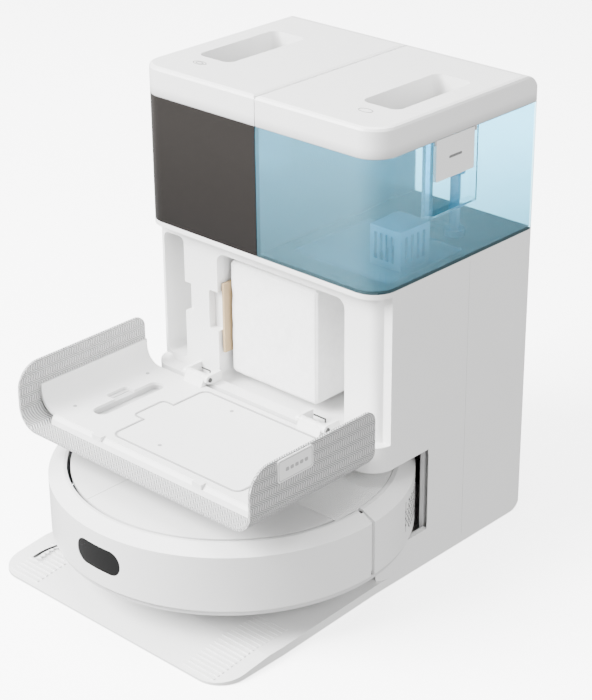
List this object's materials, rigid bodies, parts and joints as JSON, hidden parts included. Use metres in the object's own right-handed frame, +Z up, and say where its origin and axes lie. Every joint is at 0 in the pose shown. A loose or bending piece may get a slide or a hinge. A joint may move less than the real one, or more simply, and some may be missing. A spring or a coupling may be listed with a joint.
{
  "type": "robot vacuum",
  "caption": "Round robot vacuum and mop parked in its washing dock, with smoked and clear blue water tanks, a fold-down front door and a dust bag bay.",
  "frame": {"origin": "on the floor, below the middle of the dock's front face", "axes": "+X to the right seen from the front, -Y towards the ramp and the robot's bumper, +Z up"},
  "size_m": [0.35, 0.4434, 0.461],
  "materials": {
    "white_shell": "satin",
    "white_matte": "matte",
    "door_weave": "woven texture",
    "pale_grey": "matte",
    "mid_grey": "matte",
    "dark_plastic": "matte",
    "clear_blue": "clear blue",
    "smoke": "smoked",
    "inner_blue": "clear",
    "black_gloss": "gloss",
    "soft_rubber": "matte",
    "roller_rubber": "matte",
    "steel": "brushed",
    "bag_fibre": "fibre",
    "card": "card",
    "board_green": "solder mask",
    "tyre_rubber": "matte",
    "seal_grey": "matte"
  },
  "bodies": {
    "dock": {"base_tray": "white_shell", "wash_tray": "pale_grey", "feet": "soft_rubber", "housing": "white_shell", "parking_liner": "pale_grey", "rear_cover": "white_shell", "tank_deck": "white_shell", "evac_duct": "pale_grey", "motor_housing": "mid_grey", "fan_housing": "mid_grey", "clean_pump": "mid_grey", "dirty_pump": "mid_grey", "dock_board": "board_green", "power_inlet": "dark_plastic", "guide_bars": "black_gloss", "cover_screws": "steel", "hinge_pins": "steel"},
    "contacts": {"contact_pins": "steel"},
    "motor_rotor": {"motor_impeller": "pale_grey"},
    "drying_rotor": {"fan_rotor": "dark_plastic"},
    "clean_tank_body": {"clean_tank": "clear_blue", "filter_cage": "inner_blue", "pickup_tube": "inner_blue"},
    "clean_lid_body": {"clean_lid": "white_shell", "clean_seal": "seal_grey"},
    "clean_latch_body": {"clean_latch": "white_shell"},
    "dirty_tank_body": {"dirty_tank": "smoke", "dirty_inlet": "dark_plastic"},
    "dirty_lid_body": {"dirty_lid": "white_shell", "dirty_seal": "seal_grey"},
    "dirty_latch_body": {"dirty_latch": "white_shell"},
    "door": {"door_shell": "door_weave", "door_liner": "white_matte", "door_gasket": "seal_grey", "door_tag": "white_shell", "door_knuckles": "white_matte", "tray_insert": "pale_grey"},
    "bag": {"dust_bag": "bag_fibre", "bag_collar": "card"},
    "robot": {"chassis": "pale_grey", "rear_shell": "white_shell", "plate_front": "white_shell", "battery": "dark_plastic", "dust_bin": "mid_grey"},
    "bumper_body": {"bumper": "white_shell", "sensor_window": "black_gloss"},
    "pad_plate": {"plate_rear": "white_matte"},
    "fan": {"robot_fan": "pale_grey"},
    "left_suspension": {"left_arm": "mid_grey"},
    "left_drive": {"left_wheel": "pale_grey", "left_tyre": "tyre_rubber"},
    "right_suspension": {"right_arm": "mid_grey"},
    "right_drive": {"right_wheel": "pale_grey", "right_tyre": "tyre_rubber"},
    "caster": {"caster_fork": "mid_grey"},
    "caster_roll": {"caster_wheel": "dark_plastic"},
    "front_brush": {"front_roller": "roller_rubber"},
    "rear_brush": {"rear_roller": "roller_rubber"},
    "corner_brush": {"side_brush": "mid_grey", "brush_bristles": "dark_plastic"}
  },
  "joints": [
    {"name": "door_hinge", "type": "hinge", "parent": "dock", "child": "door", "pos_m": [0, -0.003, 0.158], "axis": [-1, 0, 0], "range_deg": [0, 90]},
    {"name": "clean_tank_lift", "type": "slide", "parent": "dock", "child": "clean_tank_body", "axis": [0, 0, 1], "range_m": [0, 0.2]},
    {"name": "dirty_tank_lift", "type": "slide", "parent": "dock", "child": "dirty_tank_body", "axis": [0, 0, 1], "range_m": [0, 0.2]},
    {"name": "clean_lid_hinge", "type": "hinge", "parent": "clean_tank_body", "child": "clean_lid_body", "pos_m": [0.0761, 0.2294, 0.431], "axis": [-1, 0, 0], "range_deg": [0, 75]},
    {"name": "dirty_lid_hinge", "type": "hinge", "parent": "dirty_tank_body", "child": "dirty_lid_body", "pos_m": [-0.0734, 0.2294, 0.431], "axis": [-1, 0, 0], "range_deg": [0, 75]},
    {"name": "clean_latch_hinge", "type": "hinge", "parent": "clean_lid_body", "child": "clean_latch_body", "pos_m": [0.147, 0.106, 0.4305], "axis": [0, -1, 0], "range_deg": [0, 20], "stiffness_Nm_per_rad": 0.08},
    {"name": "dirty_latch_hinge", "type": "hinge", "parent": "dirty_lid_body", "child": "dirty_latch_body", "pos_m": [-0.147, 0.106, 0.4305], "axis": [0, 1, 0], "range_deg": [0, 20], "stiffness_Nm_per_rad": 0.08},
    {"name": "bag_slide", "type": "slide", "parent": "dock", "child": "bag", "axis": [0, -1, 0], "range_m": [0, 0.15]},
    {"name": "contact_press", "type": "slide", "parent": "dock", "child": "contacts", "axis": [0, 0, -1], "range_m": [0, 0.0025], "stiffness_N_per_m": 300},
    {"name": "motor_spin", "type": "hinge", "parent": "dock", "child": "motor_rotor", "pos_m": [0.062, 0.18, 0.2], "axis": [0, 0, 1], "continuous": true},
    {"name": "drying_fan_spin", "type": "hinge", "parent": "dock", "child": "drying_rotor", "pos_m": [-0.066, 0.2, 0.096], "axis": [0, 1, 0], "continuous": true},
    {"name": "robot_undock", "type": "slide", "parent": "dock", "child": "robot", "axis": [0, -1, 0], "range_m": [0, 0.42]},
    {"name": "bumper_press", "type": "slide", "parent": "robot", "child": "bumper_body", "axis": [0, 1, 0], "range_m": [0, 0.003], "stiffness_N_per_m": 400},
    {"name": "pad_plate_lift", "type": "hinge", "parent": "robot", "child": "pad_plate", "pos_m": [0, 0.117, 0.1062], "axis": [-1, 0, 0], "range_deg": [0, 4]},
    {"name": "robot_fan_spin", "type": "hinge", "parent": "robot", "child": "fan", "pos_m": [0, -0.036, 0.07], "axis": [0, 0, 1], "continuous": true},
    {"name": "left_suspension_swing", "type": "hinge", "parent": "robot", "child": "left_suspension", "pos_m": [-0.105, 0.006, 0.052], "axis": [-1, 0, 0], "range_deg": [0, 7], "stiffness_Nm_per_rad": 2, "springref_deg": -11.46},
    {"name": "left_wheel_spin", "type": "hinge", "parent": "left_suspension", "child": "left_drive", "pos_m": [-0.118, -0.036, 0.0436], "axis": [1, 0, 0], "continuous": true},
    {"name": "right_suspension_swing", "type": "hinge", "parent": "robot", "child": "right_suspension", "pos_m": [0.105, 0.006, 0.052], "axis": [-1, 0, 0], "range_deg": [0, 7], "stiffness_Nm_per_rad": 2, "springref_deg": -11.46},
    {"name": "right_wheel_spin", "type": "hinge", "parent": "right_suspension", "child": "right_drive", "pos_m": [0.118, -0.036, 0.0436], "axis": [1, 0, 0], "continuous": true},
    {"name": "caster_swivel", "type": "hinge", "parent": "robot", "child": "caster", "pos_m": [0, -0.148, 0.03], "axis": [0, 0, 1], "continuous": true},
    {"name": "caster_wheel_spin", "type": "hinge", "parent": "caster", "child": "caster_roll", "pos_m": [0, -0.148, 0.0201], "axis": [1, 0, 0], "continuous": true},
    {"name": "front_brush_spin", "type": "hinge", "parent": "robot", "child": "front_brush", "pos_m": [0, -0.055, 0.029], "axis": [1, 0, 0], "continuous": true},
    {"name": "rear_brush_spin", "type": "hinge", "parent": "robot", "child": "rear_brush", "pos_m": [0, -0.017, 0.029], "axis": [1, 0, 0], "continuous": true},
    {"name": "side_brush_spin", "type": "hinge", "parent": "robot", "child": "corner_brush", "pos_m": [-0.112, -0.122, 0.015], "axis": [0, 0, 1], "continuous": true}
  ],
  "couplings": [
    {"joint": "rear_brush_spin", "follows": "front_brush_spin", "ratio": -1}
  ]
}
